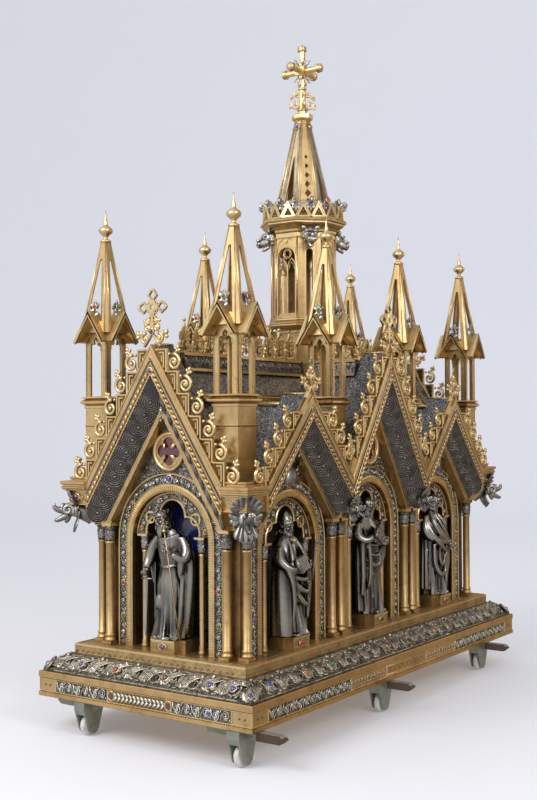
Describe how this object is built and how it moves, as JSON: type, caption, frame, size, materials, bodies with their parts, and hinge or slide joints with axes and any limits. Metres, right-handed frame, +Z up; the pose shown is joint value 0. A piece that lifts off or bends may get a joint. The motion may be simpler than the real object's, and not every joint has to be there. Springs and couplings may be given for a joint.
{
  "type": "reliquary shrine",
  "caption": "House-shaped neo-Gothic reliquary in gilded metal, with gabled niches holding silver statues, pierced corner turrets, a central spire and small wheels.",
  "frame": {"origin": "on the floor under the centre of the object's bounding box, at the bottom of the wheels", "axes": "+X along the long side towards the right end, +Y from the front long side to the back, +Z up"},
  "size_m": [1.68, 0.846, 2.168],
  "materials": {
    "gilt": "matt fire-gilt, brownish in the recesses",
    "oxidised_silver": "dark oxidised silver, bright on the edges",
    "enamelled_roof": "grey-blue enamel with silver filigree",
    "painted_steel": "grey-green paint",
    "nylon": "white nylon"
  },
  "bodies": {
    "shrine": {"caster_fork_back_1": "painted_steel", "caster_fork_back_2": "painted_steel", "caster_fork_back_3": "painted_steel", "caster_fork_front_1": "painted_steel", "caster_fork_front_2": "painted_steel", "caster_fork_front_3": "painted_steel", "column_end_left_back": "gilt", "column_end_left_front": "gilt", "column_end_right_back": "gilt", "column_end_right_front": "gilt", "column_pair_back_left": "gilt", "column_pair_back_right": "gilt", "column_pair_front_left": "gilt", "column_pair_front_right": "gilt", "column_side_left_back": "gilt", "column_side_left_front": "gilt", "column_side_right_back": "gilt", "column_side_right_front": "gilt", "end_gable_left": "gilt", "end_gable_right": "gilt", "foliage_cornice": "oxidised_silver", "plinth": "gilt", "roof": "enamelled_roof", "shrine_walls": "gilt", "side_gable_back_left": "gilt", "side_gable_back_middle": "gilt", "side_gable_back_right": "gilt", "side_gable_front_left": "gilt", "side_gable_front_middle": "gilt", "side_gable_front_right": "gilt", "statue_back_left": "oxidised_silver", "statue_back_middle": "oxidised_silver", "statue_back_right": "oxidised_silver", "statue_front_left": "oxidised_silver", "statue_front_middle": "oxidised_silver", "statue_front_right": "oxidised_silver", "statue_left_end": "oxidised_silver", "statue_right_end": "oxidised_silver", "step_with_pedestals": "gilt", "tower_cross": "gilt", "tower_drum": "gilt", "tower_gallery": "gilt", "tower_spire": "gilt", "turret_corner_left_back": "gilt", "turret_corner_left_front": "gilt", "turret_corner_right_back": "gilt", "turret_corner_right_front": "gilt", "turret_junction_left_back": "gilt", "turret_junction_left_front": "gilt", "turret_junction_right_back": "gilt", "turret_junction_right_front": "gilt"},
    "wheel_front_1": {"wheel_front_1": "nylon"},
    "wheel_front_2": {"wheel_front_2": "nylon"},
    "wheel_front_3": {"wheel_front_3": "nylon"},
    "wheel_back_1": {"wheel_back_1": "nylon"},
    "wheel_back_2": {"wheel_back_2": "nylon"},
    "wheel_back_3": {"wheel_back_3": "nylon"}
  },
  "joints": [
    {"name": "wheel_front_1_roll", "type": "hinge", "parent": "shrine", "child": "wheel_front_1", "pos_m": [-0.799, -0.284, 0.03], "axis": [0, 1, 0], "continuous": true},
    {"name": "wheel_front_2_roll", "type": "hinge", "parent": "shrine", "child": "wheel_front_2", "pos_m": [-0.105, -0.307, 0.03], "axis": [0, 1, 0], "continuous": true},
    {"name": "wheel_front_3_roll", "type": "hinge", "parent": "shrine", "child": "wheel_front_3", "pos_m": [0.615, -0.307, 0.03], "axis": [0, 1, 0], "continuous": true},
    {"name": "wheel_back_1_roll", "type": "hinge", "parent": "shrine", "child": "wheel_back_1", "pos_m": [-0.799, 0.261, 0.03], "axis": [0, 1, 0], "continuous": true},
    {"name": "wheel_back_2_roll", "type": "hinge", "parent": "shrine", "child": "wheel_back_2", "pos_m": [-0.105, 0.261, 0.03], "axis": [0, 1, 0], "continuous": true},
    {"name": "wheel_back_3_roll", "type": "hinge", "parent": "shrine", "child": "wheel_back_3", "pos_m": [0.615, 0.261, 0.03], "axis": [0, 1, 0], "continuous": true}
  ]
}
